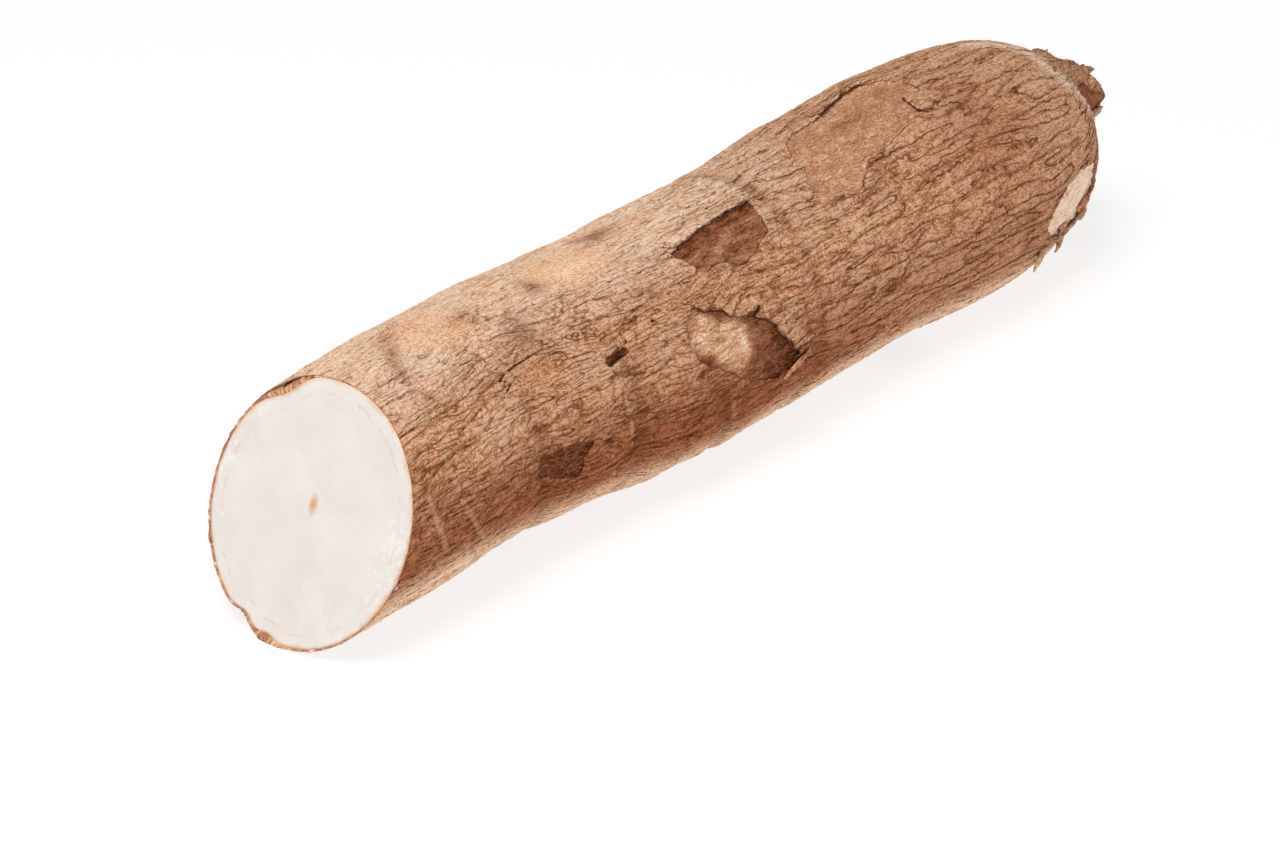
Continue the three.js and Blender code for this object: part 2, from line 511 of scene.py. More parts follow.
# Where the shoulder's crest has been scraped pale.
CREST = [(268, 84), (277, 92), (283, 103), (283, 118), (287, 132), (295, 151), (300, 170)]
CREST_DUST, CREST_DUST_WIDTH = 0.85, 3.3
CREST_RUBBED, CREST_RUBBED_WIDTH = 0.75, 2.6

# The crown's middle turn, where the bark is painted paler as if lit from above, and how far it reaches to
# each side and fades there, degrees.
CROWN, CROWN_REACH, CROWN_FADE = 80.0, 60.0, 45.0
# The turns between which the underside is painted paler, a painted bounce light from the floor, and those
# where the near side is painted darker and browner, a painted shade.
BOUNCE_LIGHT_FROM, BOUNCE_LIGHT_TO, BOUNCE_LIGHT_FADE = 200.0, 292.0, 30.0
NEAR_SHADE_FROM, NEAR_SHADE_TO = 150.0, 224.0
NEAR_SHADE_RISE, NEAR_SHADE_FADE = 45.0, 24.0
# Where the bark changes along the root: a start and the length that the change takes, mm.
LUMPS_GROW = (0.0, 25.0)
CUT_EFFECT_ENDS = (22.0, 35.0)
CROWN_CALM_ENDS = (120.0, 40.0)
CROWN_LIGHT_THINS = (125.0, 80.0)
NEAR_SHADE_THINS = (140.0, 60.0)
GRAIN_TURNS = (298.0, 14.0)
NECK_CALM = (306.0, 6.0)
NECK_RICH = (310.0, 6.0)


def lobe(along, turn, length, width):
    """A blot with a flat top and a short slope."""
    return smoothstep((blot(along, turn, length, width) - 0.2) / 0.45)


def girdle(along, width, first, last):
    """1 along a line across the root between two turns, fading out over a width, mm."""
    held = rise(AT_TURN, first, STOUT_FADE) * rise(-AT_TURN, -last, STOUT_FADE)
    return held * np.exp(-(((AT_ALONG - along) / width) ** 2))


LUMP_SIZE, LUMP_HEIGHT = 34.0, 0.9


def grown_form():
    """The root's own unevenness, mm: growth rings, the knot and slow lumps, which spare the cut's edge."""
    form = sum(high * girdle(*place) for high, *place in STOUT_RINGS)
    for points, deep in GROOVES:
        form -= deep * line(points, GROOVE_WIDTH)
    for high, *place in SWELLINGS:
        form += high * blot(*place)
    slow = np.array([noise.noise(Vector(point)) for point in ROWS.reshape(-1, 3) / LUMP_SIZE])
    return form + LUMP_HEIGHT * slow.reshape(AT_ALONG.shape) * rise(AT_ALONG, *LUMPS_GROW)


def on_crown(turn):
    """1 on the root's crown, fading out to each side."""
    return smoothstep((CROWN_REACH - np.abs(turn - CROWN)) / CROWN_FADE)


def paler_near_cut(along):
    """How many degrees higher, by the cut, the underside's painted bounce light begins and the near side's
    painted shade ends.
    """
    return 12.5 * (1.0 - rise(along, *CUT_EFFECT_ENDS))


def dust_on(along, turn):
    """How much paler the bark is painted: on the crown, as painted light from above, most of all towards the
    cut, and on the underside, as painted bounce light from the floor.
    """
    crown = on_crown(turn) * (1.0 - 0.9 * rise(along, *CROWN_LIGHT_THINS))
    beneath = smoothstep((turn - BOUNCE_LIGHT_FROM + paler_near_cut(along)) / BOUNCE_LIGHT_FADE)
    return np.maximum(crown, beneath * smoothstep((BOUNCE_LIGHT_TO - turn) / BOUNCE_LIGHT_FADE))


def rich_brown():
    """How much darker and browner the bark is: painted shade on the near side, and a darker brown on the
    neck and in stains.
    """
    near = rise(AT_TURN, NEAR_SHADE_FROM, NEAR_SHADE_RISE)
    near = near * smoothstep((NEAR_SHADE_TO - paler_near_cut(AT_ALONG) - AT_TURN) / NEAR_SHADE_FADE)
    near = near * (1.0 - 0.5 * rise(AT_ALONG, *NEAR_SHADE_THINS))
    return most([near, 0.7 * rise(AT_ALONG, *NECK_RICH), blots(RICH_STAINS)])


def bare_tone(nearest):
    """The bare skin's colour at each place, by its nearest patch: from 0 for dark to 1 for pale."""
    tone = np.array([patch["tone"] for patch in PATCHES])[nearest]
    tone += KNOT_PALE * most([strength * lobe(*place) for strength, *place in KNOT_LOBES])
    # painted shade by overhanging edges, first in spots and then along lines
    for darker, *place in BARE_PAINTED_SHADE:
        tone -= darker * blot(*place)
    for darker, points, width in EDGE_PAINTED_SHADE:
        tone -= darker * line(points, width)
    return tone


NECK_THINNER = 0.62  # the bark's grain is finer on the neck: round it by this share,
NECK_STRETCH = 3.0  # and along it by this many times more
STRETCH_FROM = 300.0


def grain_at(along, around):
    """Where a place lies in the bark's grain, which runs lengthwise and turns to run round the neck."""
    radius = SKIN_RADIUS * (1.0 - NECK_THINNER * rise(along, *GRAIN_TURNS))
    turn = around / SKIN_RADIUS
    stretched = along + NECK_STRETCH * np.maximum(along - STRETCH_FROM, 0.0)
    return np.stack([stretched, radius * np.cos(turn), radius * np.sin(turn)], axis=-1)


DEEPEST = 8.0  # how far inside or outside a patch its edge no longer matters, mm
FARTHEST = 5.0  # and how far from a crack or a scar
LIP_WIDTH = 1.8


def skin_attributes():
    """What the bark's relief and colours read at each place on the skin."""
    depths = np.array([depth_inside(patch["outline"]) for patch in PATCHES])
    nearest = depths.argmax(axis=0)
    groove_darkening = [GROOVE_DARKER * line(points, GROOVE_DARKER_WIDTH) for points, _ in GROOVES]
    smudge = most([blots(SMUDGES), *groove_darkening])
    dust = np.maximum(dust_on(AT_ALONG, AT_TURN), CREST_DUST * line(CREST, CREST_DUST_WIDTH))
    calm_crown = 0.36 * on_crown(AT_TURN) * (1.0 - rise(ALONG[:, None], *CROWN_CALM_ENDS))
    calm_neck = 0.45 * rise(AT_ALONG, *NECK_CALM)
    return {
        "grain": grain_at(np.broadcast_to(ALONG[:, None], AT_ALONG.shape), AT_ROUND),
        "loose": np.ones(AT_ALONG.shape),
        "bare": np.clip(depths.max(axis=0), -DEEPEST, DEEPEST),
        "bare_tone": bare_tone(nearest),
        "mottle": np.array([patch["mottle"] for patch in PATCHES])[nearest],
        "sunk": np.array([patch["sunk"] for patch in PATCHES])[nearest],
        "lip": most([high * line(points, LIP_WIDTH) for points, high in LIPS]),
        "crack": nearest_line(CRACKS, FARTHEST),
        "scar": nearest_line(SCARS, FARTHEST),
        "rubbed": most([blots(RUBBED), CREST_RUBBED * line(CREST, CREST_RUBBED_WIDTH)]),
        "smudge": smudge,
        # paler bark: painted light on the crown and the underside, and the crest scraped pale
        "dust": dust * (1.0 - 0.6 * smudge),
        # darker, browner bark: painted shade on the near side, and a darker brown on the neck and in stains
        "deep": rich_brown(),
        "calm": most([blots(CALM), calm_crown, calm_neck]),
    }


# ---- materials ----------------------------------------------------------------------------------------


def linear(hex_colour):
    """An sRGB hex colour as linear RGBA."""
    parts = [int(hex_colour[i : i + 2], 16) / 255 for i in (1, 3, 5)]
    return [c / 12.92 if c <= 0.04045 else ((c + 0.055) / 1.055) ** 2.4 for c in parts] + [1.0]


def add(tree, kind, *values, out=0, **named):
    """Adds a node. Values and capitalised names go to its inputs, as links or settings: None leaves an input
    alone, and a hex colour is turned to linear. Other names are settings of the node itself."""
    node = tree.nodes.new(kind if kind.startswith("Geometry") else "ShaderNode" + kind)
    sockets = list(enumerate(values))
    for name, value in named.items():
        if name == "stops":
            for at, colour in value[2:]:
                node.color_ramp.elements.new(at)
            for element, (at, colour) in zip(node.color_ramp.elements, sorted(value)):
                element.position, element.color = at, linear(colour)
        elif name[0].islower():
            setattr(node, name, value)
        else:
            sockets.append((name, value))
    for name, value in sockets:
        socket = node.inputs[name]
        if value is None:
            continue
        if isinstance(value, bpy.types.NodeSocket):
            tree.links.new(value, socket)
        else:
            socket.default_value = linear(value) if str(value)[0] == "#" else value
    return node.outputs[out]


def new_material(name):
    material = bpy.data.materials.new(name)
    material.use_nodes = True
    return material


def mottling(tree, at, length, width, **named):
    """Soft noise with lumps about that long and that wide, mm."""
    scaled = add(tree, "VectorMath", at, (1 / length, 1 / width, 1 / width), operation="MULTIPLY")
    return add(tree, "TexNoise", Vector=scaled, Scale=1.0, **named)


def between(tree, share, first, last):
    """From one value where the share is 0 to another where it is 1."""
    return add(tree, "MapRange", share, 0.0, 1.0, first, last)


def eased(tree, value, start, end, first, last):
    """The same from a start to an end, with a soft beginning and finish."""
    return add(tree, "MapRange", value, start, end, first, last, interpolation_type="SMOOTHSTEP")


def layered(tree, base, layers):
    """A value with others added to it, each times its share."""
    for layer, share in layers:
        base = add(tree, "Math", layer, share, base, operation="MULTIPLY_ADD")
    return base


def product(tree, first, *others):
    """Values multiplied together."""
    for other in others:
        first = add(tree, "Math", first, other, operation="MULTIPLY")
    return first


RIDGE_RISE = 0.16  # how quickly a ridge rises from its crease, in steps of the noise that draws them
SCALE_EDGE = 0.05  # the same on the steep side of the broad creases, which looks like the edge of a scale
# Families of creases: how long and how far apart they are, mm, how thin, and how steep on one side.
FINE_CREASES = (8.0, 1.45, 0.04)
THIN_CREASES = (3.8, 0.7, 0.06)
CROSS_CREASES = (1.7, 3.2, 0.05)
BROAD_CREASES = (19.0, 2.7, 0.024, SCALE_EDGE)
# How high the ridges between them stand, mm: two of them on the half by the cut and on the half by the neck.
BROAD_HIGH, FINE_HIGH = (0.22, 0.44), (0.31, 0.2)
THIN_HIGH, CROSS_HIGH = 0.11, 0.15
# Painted shade in the fine creases:
FINE_SHADE = (0.8, 0.6)  # how dark the fine creases are on those halves
HALVES = (185.0, 225.0)  # one half goes over into the other between these, mm along
WANDER, KINK = (6.0, 3.0, 3.0), (1.1, 1.1, 1.1)  # how far the grain wanders and kinks, mm
LUMPS_HIGH, SCAR_HIGH, SPLIT_DEEP = 0.7, 0.3, 0.6
BARE_LEVEL = 0.2  # the height of the bare skin where it isn't sunk
RAGGED = 1.6  # how far a patch's edge wanders


def creases(tree, at, length, width, thin, steep=RIDGE_RISE):
    """Creases that wander lengthwise, about that long and that far apart, mm: the height of the ridges
    between them, from 0 to 1, and the creases. Thin is a crease's breadth, and steep how quickly a ridge
    rises from one side of it."""
    wave = mottling(tree, at, length, width, Detail=0.0)
    wave = add(tree, "Math", wave, 0.5, operation="SUBTRACT")
    one_side = add(tree, "MapRange", wave, 0.0, RIDGE_RISE, 0.0, 1.0)
    other_side = add(tree, "MapRange", wave, -steep, 0.0, 1.0, 0.0)
    ridge = add(tree, "Math", one_side, other_side, operation="MAXIMUM")
    wave = add(tree, "Math", wave, operation="ABSOLUTE")
    crease = eased(tree, wave, 0.0, thin, 1.0, 0.0)
    return ridge, crease


def bark_pattern(tree, read, edge):
    """The bark's height, mm, and the masks its colours follow. It is the same in the mesh and the material,
    apart from edge, the width over which a torn edge drops, which can't be less than the mesh can show."""
    # the grain, made to wander: slowly, and in small kinks
    grain = read("grain")
    slow = mottling(tree, grain, 20, 9, Detail=0.0, out="Color")
    kinks = mottling(tree, grain, 3.2, 3.0, Detail=1.0, out="Color")
    wavy = add(tree, "VectorMath", slow, WANDER, grain, operation="MULTIPLY_ADD")
    wavy = add(tree, "VectorMath", kinks, KINK, wavy, operation="MULTIPLY_ADD")

    fine_ridge, fine_crease = creases(tree, wavy, *FINE_CREASES)
    thin_ridge, thin_crease = creases(tree, wavy, *THIN_CREASES)
    broad_ridge, broad_crease = creases(tree, wavy, *BROAD_CREASES)
    cross_ridge, cross_crease = creases(tree, wavy, *CROSS_CREASES)

    # towards the neck the ridges are broader and higher, from a line that wanders
    along = add(tree, "SeparateXYZ", grain)
    blend = layered(tree, along, [(mottling(tree, grain, 22, 14, Detail=1.0), 110.0)])
    broad = eased(tree, blend, *HALVES, 0.0, 1.0)
    broad_high = between(tree, broad, *BROAD_HIGH)
    fine_high = between(tree, broad, *FINE_HIGH)
    fine_shade = between(tree, broad, *FINE_SHADE)

    # creases are open in patches, and calm bark has little relief
    patchy = mottling(tree, wavy, 7, 4, Detail=1.0)
    open_here = add(tree, "MapRange", patchy, 0.38, 0.58, 0.1, 1.0)
    lively = eased(tree, read("calm"), 0.15, 0.75, 1.0, 0.25)
    crease = product(tree, fine_crease, fine_shade)
    crease = add(tree, "Math", crease, broad_crease, operation="MAXIMUM")
    crease = product(tree, crease, open_here, lively)
    ridge = product(tree, broad_ridge, broad_high)
    finer = [(fine_ridge, fine_high), (thin_ridge, THIN_HIGH), (cross_ridge, CROSS_HIGH)]
    ridge = layered(tree, ridge, finer)
    ridge = product(tree, ridge, lively)

    lumps = mottling(tree, grain, 20, 9, Detail=1.0)
    scar = layered(tree, read("scar"), [(patchy, 1.2)])
    scar = eased(tree, scar, 0.95, 1.45, 1.0, 0.0)
    height = layered(tree, ridge, [(lumps, LUMPS_HIGH), (scar, SCAR_HIGH)])

    # where the bark has peeled: a ragged edge, often curled up, round a smoother and lower skin
    ragged = mottling(tree, grain, 2.4, 1.6, Detail=1.0)
    bare = layered(tree, read("bare"), [(ragged, RAGGED)])
    bare = add(tree, "Math", bare, RAGGED / 2, operation="SUBTRACT")
    peeled = eased(tree, bare, -edge, edge, 0.0, 1.0)
    near = add(tree, "MapRange", bare, -3.5, 0.0, 0.0, 1.0, interpolation_type="SMOOTHERSTEP")
    height = layered(tree, height, [(near, read("lip"))])
    floor = layered(tree, BARE_LEVEL, [(lumps, LUMPS_HIGH)])
    floor = add(tree, "Math", floor, read("sunk"), operation="SUBTRACT")
    floor = layered(tree, floor, [(product(tree, ragged, read("mottle")), 0.4), (thin_ridge, 0.1)])
    height = add(tree, "Mix", peeled, None, height, floor)

    split = layered(tree, read("crack"), [(ragged, 0.9)])
    split = eased(tree, split, 0.48, 0.78, 1.0, 0.0)
    height = layered(tree, height, [(split, -SPLIT_DEEP)])
    return dict(
        height=height, ridge=ridge, crease=crease, thin=thin_crease, cross=cross_crease, broad=broad,
        bare=bare, peeled=peeled, split=split, scar=scar, wavy=wavy, patchy=patchy, lively=lively,
    )


MESH_EDGE, FINE_EDGE = 0.8, 0.15  # the width over which a torn edge drops, in the mesh and the material, mm
FORM_LEVEL = 1.0  # bark of this height lies on the sculpted form
# Browns for painted shade in creases, along torn edges, under curled edges and in cracks; the second also
# darkens smudges.
PAINTED_CREASE_SHADE, FAINT_SHADE_AND_SMUDGE = "#5a2d10", "#743f1c"
PAINTED_UNDER_LIP_SHADE, PAINTED_CRACK_SHADE = "#452210", "#3a1a0c"


def bark_material():
    """Cassava bark, dry as it was dug and washed: matt, papery and scaly, with dark cracks."""
    material = new_material("cassava_bark")
    tree = material.node_tree
    surface = tree.nodes["Principled BSDF"]

    def read(name):
        out = "Vector" if name == "grain" else "Fac"
        return add(tree, "Attribute", attribute_name=name, out=out)

    bark = bark_pattern(tree, read, FINE_EDGE)
    dust, thin = read("dust"), bark["thin"]
    fibre = mottling(tree, bark["wavy"], 1.6, 0.5, Detail=2.0, Roughness=0.6)
    cloud = mottling(tree, bark["wavy"], 14, 7, Detail=3.0)
    grit = add(tree, "TexNoise", Vector=bark["wavy"], Scale=1.9, Detail=1.0)  # so many grains to the mm

    # the outer bark: two ramps on one tone, a rich one and a pale one; the pale one is painted light on the
    # crown and underside, and the scraped crest's own paleness
    # lighter on the ridges and darker between them, a painted highlight and painted shade
    tone = layered(
        tree, 0.0,
        [(fibre, 0.8), (cloud, 0.3), (bark["ridge"], 0.45), (read("calm"), 0.04)]
        + [(read("rubbed"), 0.25), (bark["scar"], 0.5), (grit, 0.8)],
    )
    lowered = between(tree, bark["broad"], 0.388, 0.41)
    tone = add(tree, "Math", tone, lowered, operation="SUBTRACT")
    rich = add(
        tree, "ValToRGB", tone,
        stops=[(0.42, "#7f4828"), (0.6, "#ad7048"), (0.76, "#ca9068"), (0.98, "#e8b793")],
    )
    lit_pale_colour = add(
        tree, "ValToRGB", tone,
        stops=[(0.42, "#b87b54"), (0.58, "#e1ac84"), (0.7, "#f2c49e"), (0.92, "#fbddc2")],
    )
    colour = add(tree, "MixRGB", dust, rich, lit_pale_colour)
    # painted shade: the near side darker and browner, as are the neck and the stains
    colour = add(tree, "MixRGB", read("deep"), colour, "#c8a38b", blend_type="MULTIPLY")
    colour = add(tree, "MixRGB", product(tree, bark["scar"], 0.42), colour, "#d8a482")
    # painted shade in the creases, kept lighter on the pale bark
    crease_shade_kept = between(tree, dust, 0.95, 0.7)
    colour = add(tree, "MixRGB", product(tree, bark["crease"], crease_shade_kept), colour, PAINTED_CREASE_SHADE)
    # painted shade in the thin and cross creases
    faint = layered(tree, product(tree, bark["cross"], 0.3), [(thin, 0.46)])
    faint = product(tree, faint, bark["lively"], crease_shade_kept)
    colour = add(tree, "MixRGB", faint, colour, FAINT_SHADE_AND_SMUDGE)

    # the bare skin
    blotch = mottling(tree, bark["wavy"], 6, 2.4, Detail=3.0)
    blotch = add(tree, "Math", blotch, 1.8, -0.9, operation="MULTIPLY_ADD")
    blotch = layered(tree, read("bare_tone"), [(blotch, read("mottle"))])
    # the bare skin painted darker in the thin creases, a painted shade
    blotch = layered(tree, blotch, [(fibre, 0.85), (thin, -0.2), (grit, 0.55)])
    blotch = add(tree, "Math", blotch, 0.7, operation="SUBTRACT")
    bare = add(
        tree, "ValToRGB", blotch,
        stops=[(0.0, "#4a2411"), (0.14, "#814726"), (0.38, "#9d674b"), (0.62, "#c48c68")]
        + [(0.8, "#e0b188"), (1.0, "#fde0c8")],
    )
    colour = add(tree, "MixRGB", bark["peeled"], colour, bare)

    # smudges, and painted shade along torn edges, under curled edges and in cracks
    smudged = product(tree, bark["patchy"], 1.1)
    smudged = add(tree, "Math", smudged, read("smudge"), operation="MULTIPLY", use_clamp=True)
    colour = add(tree, "MixRGB", smudged, colour, FAINT_SHADE_AND_SMUDGE)
    torn = add(tree, "Math", bark["bare"], operation="ABSOLUTE")
    torn = eased(tree, torn, 0.1, 0.4, 0.6, 0.0)
    torn_here = add(tree, "MapRange", bark["patchy"], 0.4, 0.65, 0.0, 1.0)
    colour = add(tree, "MixRGB", product(tree, torn, torn_here), colour, PAINTED_CREASE_SHADE)
    under_lip = add(tree, "MapRange", bark["bare"], 0.5, 0.0, 0.0, 1.0)
    under_lip = product(tree, under_lip, bark["peeled"])
    under_lip = add(tree, "Math", under_lip, read("lip"), operation="MULTIPLY", use_clamp=True)
    colour = add(tree, "MixRGB", under_lip, colour, PAINTED_UNDER_LIP_SHADE)
    colour = add(tree, "MixRGB", bark["split"], colour, PAINTED_CRACK_SHADE)
    tree.links.new(colour, surface.inputs["Base Color"])
    surface.inputs["Roughness"].default_value = 0.82
    surface.inputs["Specular IOR Level"].default_value = 0.1
    height = layered(tree, bark["height"], [(fibre, 0.2), (grit, 0.12)])
    bump = add(tree, "Bump", Height=height, Distance=MM, Strength=1.0)
    tree.links.new(bump, surface.inputs["Normal"])
    return material


def bark_relief():
    """A geometry node group that moves the skin's points out by the bark's height."""
    tree = bpy.data.node_groups.new("bark_relief", "GeometryNodeTree")
    tree.interface.new_socket(name="Skin", in_out="INPUT", socket_type="NodeSocketGeometry")
    tree.interface.new_socket(name="Skin", in_out="OUTPUT", socket_type="NodeSocketGeometry")
    start = tree.nodes.new("NodeGroupInput")
    end = tree.nodes.new("NodeGroupOutput")

    def read(name):
        kind = "FLOAT_VECTOR" if name == "grain" else "FLOAT"
        return add(tree, "GeometryNodeInputNamedAttribute", data_type=kind, Name=name)

    height = bark_pattern(tree, read, MESH_EDGE)["height"]
    height = add(tree, "Math", height, FORM_LEVEL, operation="SUBTRACT")
    height = product(tree, height, read("loose"), MM)
    normal = add(tree, "GeometryNodeInputNormal")
    offset = add(tree, "VectorMath", normal, Scale=height, operation="SCALE")
    moved = add(tree, "GeometryNodeSetPosition", Geometry=start.outputs[0], Offset=offset)
    tree.links.new(moved, end.inputs[0])
    return tree


BARK = bark_material()
RIND = 4.3  # mm from the cut's edge to the faint ring where the rind ends


def flesh_material():
    """Raw cassava flesh, cut with a knife: cream white, faintly blotched and just moist, with a woody fibre
    near the middle and a thin tan line where the bark begins. Noise scales are so many lumps to the mm."""
    material = new_material("cut_cassava_flesh")
    tree = material.node_tree
    surface = tree.nodes["Principled BSDF"]
    spot = add(tree, "Attribute", attribute_name="spot", out="Vector")
    inset = add(tree, "Attribute", attribute_name="inset", out="Fac")

    cloud = add(tree, "TexNoise", Vector=spot, Scale=0.09, Detail=2.0)
    grit = add(tree, "TexNoise", Vector=spot, Scale=1.1, Detail=3.0)
    colour = add(tree, "ValToRGB", cloud, stops=[(0.35, "#dfd6cf"), (0.65, "#e4ded7")])
    wet_sheen = add(tree, "VectorMath", spot, (1 / 1.5, 1 / 2.2, 1.0), operation="MULTIPLY")
    wet_sheen = add(tree, "TexNoise", Vector=wet_sheen, Scale=1.0, Detail=2.0)
    wet_here = add(tree, "TexNoise", Vector=spot, Scale=0.07, Detail=0.0)
    wet_sheen = layered(tree, wet_sheen, [(wet_here, 0.9)])
    inside = eased(tree, inset, 3.0, 11.0, 0.0, 0.25)
    wet_sheen = add(tree, "Math", wet_sheen, inside, operation="SUBTRACT")
    wet_sheen = eased(tree, wet_sheen, 1.06, 1.2, 0.0, 0.4)
    # moist blotches are painted paler, a painted sheen, besides being less rough
    colour = add(tree, "MixRGB", wet_sheen, colour, "#f4eeea")

    uneven = add(tree, "TexNoise", Vector=spot, Scale=0.22, Detail=1.0)
    wander = layered(tree, inset, [(grit, 1.4), (uneven, 2.6)])
    wander = add(tree, "Math", wander, 1.3, operation="SUBTRACT")
    ring = add(tree, "Math", wander, RIND, operation="SUBTRACT")
    ring = add(tree, "Math", ring, operation="ABSOLUTE")
    ring = eased(tree, ring, 0.0, 0.6, 0.55, 0.0)
    ring_here = add(tree, "MapRange", uneven, 0.42, 0.62, 0.0, 0.8)
    colour = add(tree, "MixRGB", product(tree, ring, ring_here), colour, "#d9b39c")
    rim = eased(tree, wander, 0.5, 2.0, 1.0, 0.0)
    colour = add(tree, "MixRGB", rim, colour, "#e0b797")

    fibre = add(tree, "VectorMath", spot, (4.4, 0.0, 0.0), operation="ADD")
    fibre = add(tree, "VectorMath", fibre, (1 / 1.3, 1 / 2.6, 1.0), operation="MULTIPLY")
    fibre = add(tree, "VectorMath", fibre, operation="LENGTH", out="Value")
    fibre = layered(tree, fibre, [(grit, 1.0)])
    fibre = eased(tree, fibre, 0.6, 1.9, 1.0, 0.0)
    colour = add(tree, "MixRGB", fibre, colour, "#d99b70")
    streak = add(tree, "VectorMath", spot, (5.2, 8.0, 0.0), operation="ADD")
    streak = add(tree, "VectorMath", streak, (1 / 4.5, 1 / 9.0, 1.0), operation="MULTIPLY")
    streak = add(tree, "VectorMath", streak, operation="LENGTH", out="Value")
    streak = eased(tree, streak, 0.0, 1.0, 0.5, 0.0)
    colour = add(tree, "MixRGB", streak, colour, "#e6d2c8")
    tree.links.new(colour, surface.inputs["Base Color"])
    rough = between(tree, wet_sheen, 0.55, 0.3)
    tree.links.new(rough, surface.inputs["Roughness"])
    bump = add(tree, "Bump", Height=grit, Distance=0.12 * MM)
    tree.links.new(bump, surface.inputs["Normal"])
    return material


FLESH = flesh_material()

# ---- stage --------------------------------------------------------------------------------------------


def background_rays(tree):
    """1 on the rays that show the white background: straight to the camera, mirrored or through glass."""
    straight = add(tree, "LightPath", out="Is Camera Ray")
    mirrored = add(tree, "LightPath", out="Is Glossy Ray")
    through = add(tree, "LightPath", out="Is Transmission Ray")
    seen = add(tree, "Math", straight, mirrored, operation="MAXIMUM")
    return add(tree, "Math", seen, through, operation="MAXIMUM")


FLOOR_SIZE = 8.0
PAPER, PAPER_SEEN = 0.85, 0.25  # how pale the paper is to the root, and to the camera
GLOW, GLOW_SEEN = 0.4, 0.8  # and how much light it gives by itself
ROOM_LIGHT = 0.16  # the strength of the white room on the root
LAMP_AWAY, LAMP_SIZE = 1.6, 0.8


def add_stage():
    bpy.ops.mesh.primitive_plane_add(size=FLOOR_SIZE)
    floor = bpy.context.object
    floor.name = "floor"
    paper = new_material("white_paper_sweep")
    tree = paper.node_tree
    tree.nodes.remove(tree.nodes["Principled BSDF"])
    seen = background_rays(tree)
    lit = add(tree, "BsdfDiffuse", Color=between(tree, seen, PAPER, PAPER_SEEN))
    glow = add(tree, "Emission", Strength=between(tree, seen, GLOW, GLOW_SEEN))
    both = add(tree, "AddShader", lit, glow)
    tree.links.new(both, tree.nodes["Material Output"].inputs[0])
    floor.data.materials.append(paper)

    world = bpy.data.worlds.new("studio")
    bpy.context.scene.world = world
    world.use_nodes = True
    tree = world.node_tree
    tree.nodes.remove(tree.nodes["Background"])
    dim = add(tree, "Background", Color="#ffffff", Strength=ROOM_LIGHT)
    bright = add(tree, "Background", Color="#ffffff", Strength=1.0)
    both = add(tree, "MixShader", background_rays(tree), dim, bright)
    tree.links.new(both, tree.nodes["World Output"].inputs[0])


def add_softbox(name, towards, power):
    """A square lamp in that direction from the root, facing it."""
    direction = Vector(towards).normalized()
    bpy.ops.object.light_add(type="AREA", location=direction * LAMP_AWAY)
    lamp = bpy.context.object
    lamp.name = name
    lamp.rotation_euler = direction.to_track_quat("Z", "Y").to_euler()
    lamp.data.shape = "SQUARE"
    lamp.data.size = LAMP_SIZE
    lamp.data.energy = power


add_camera()
add_stage()
add_softbox("key_softbox", (-0.45, -0.12, 0.88), 22.0)
add_softbox("end_softbox", (1.0, -0.35, 0.12), 8.5)

# ---- pieces -------------------------------------------------------------------------------------------

FORM = ROWS + grown_form()[:, :, None] * outward(ROWS)
FORM_OUT = outward(FORM)

RIM_IN = 0.5
RIM_DEEP = 2.5
LIFTED, LIFTED_WIDE = 57, 12  # the turn of the lifted strip at the cut, and its spread, degrees
TORN, TORN_WIDE = 279, 6  # and of the torn bit under it
# The bark's edge at the cut, from behind the flesh outwards: how far in, as a share of the way to the flesh,
# how far back, mm, and how far back the lifted strip bends, mm.
CUT_EDGE = [(1.4, RIM_DEEP, 0.0), (1.0, 0.3, 0.0), (0.38, 0.0, 0.7), (0.18, 0.0, 2.4)]
# The neck's broken edge, from outside inwards: how far in, in steps of RIM_IN, and how far back, mm.
NECK_EDGE = [(0.5, 0.0), (1.0, 0.3), (1.6, 1.2), (3.0, RIM_DEEP)]
RIM_ROWS = len(CUT_EDGE) + 1  # the rows turned in at each end, with the pole


def rim_at(turn, spread):
    """1 at a turn of the cut's edge, fading out over a spread, degrees."""
    return np.exp(-(((AT_TURN[0] - turn) / spread) ** 2))[:, None]


def rim_inwards():
    """From the cut's edge to where the flesh begins: further behind the lifted strip and the torn bit."""
    first = FORM[0]
    wide = RIM_IN + 3.0 * rim_at(LIFTED, LIFTED_WIDE) + 2.6 * rim_at(TORN, TORN_WIDE)
    return unit(first.mean(axis=0) - first) * wide


def ends(rows):
    """The skin turned in at both ends: over the edge, down behind it and closed by a pole."""
    first, last = rows[0], rows[-1]
    cut_in = rim_inwards()
    neck_in = unit(last.mean(axis=0) - last) * RIM_IN
    start = [np.broadcast_to(first.mean(axis=0) + RIM_DEEP * LENGTHWISE, first.shape)]
    for inwards, deep, bent in CUT_EDGE:
        back = deep + bent * rim_at(LIFTED, LIFTED_WIDE)
        start.append(first + inwards * cut_in + back * LENGTHWISE)
    end = [last + inwards * neck_in - back * NECK_POINTS for inwards, back in NECK_EDGE]
    end.append(np.broadcast_to(last.mean(axis=0) - RIM_DEEP * NECK_POINTS, last.shape))
    return start, end


def store(piece, name, values):
    """Keeps a value or a vector at each of a piece's points."""
    values = np.asarray(values, dtype=np.float32)
    vector = values.size == 3 * len(piece.data.vertices)
    kind, key = ("FLOAT_VECTOR", "vector") if vector else ("FLOAT", "value")
    piece.data.attributes.new(name, kind, "POINT").data.foreach_set(key, values.ravel())


def pressed(piece, lowest=0.0):
    """Presses what would be lower than that, mm, flat against the surface that the root lies on."""
    points = np.empty(3 * len(piece.data.vertices), dtype=np.float32)
    piece.data.vertices.foreach_get("co", points)
    points[2::3] = np.maximum(points[2::3], lowest * MM)
    piece.data.vertices.foreach_set("co", points)


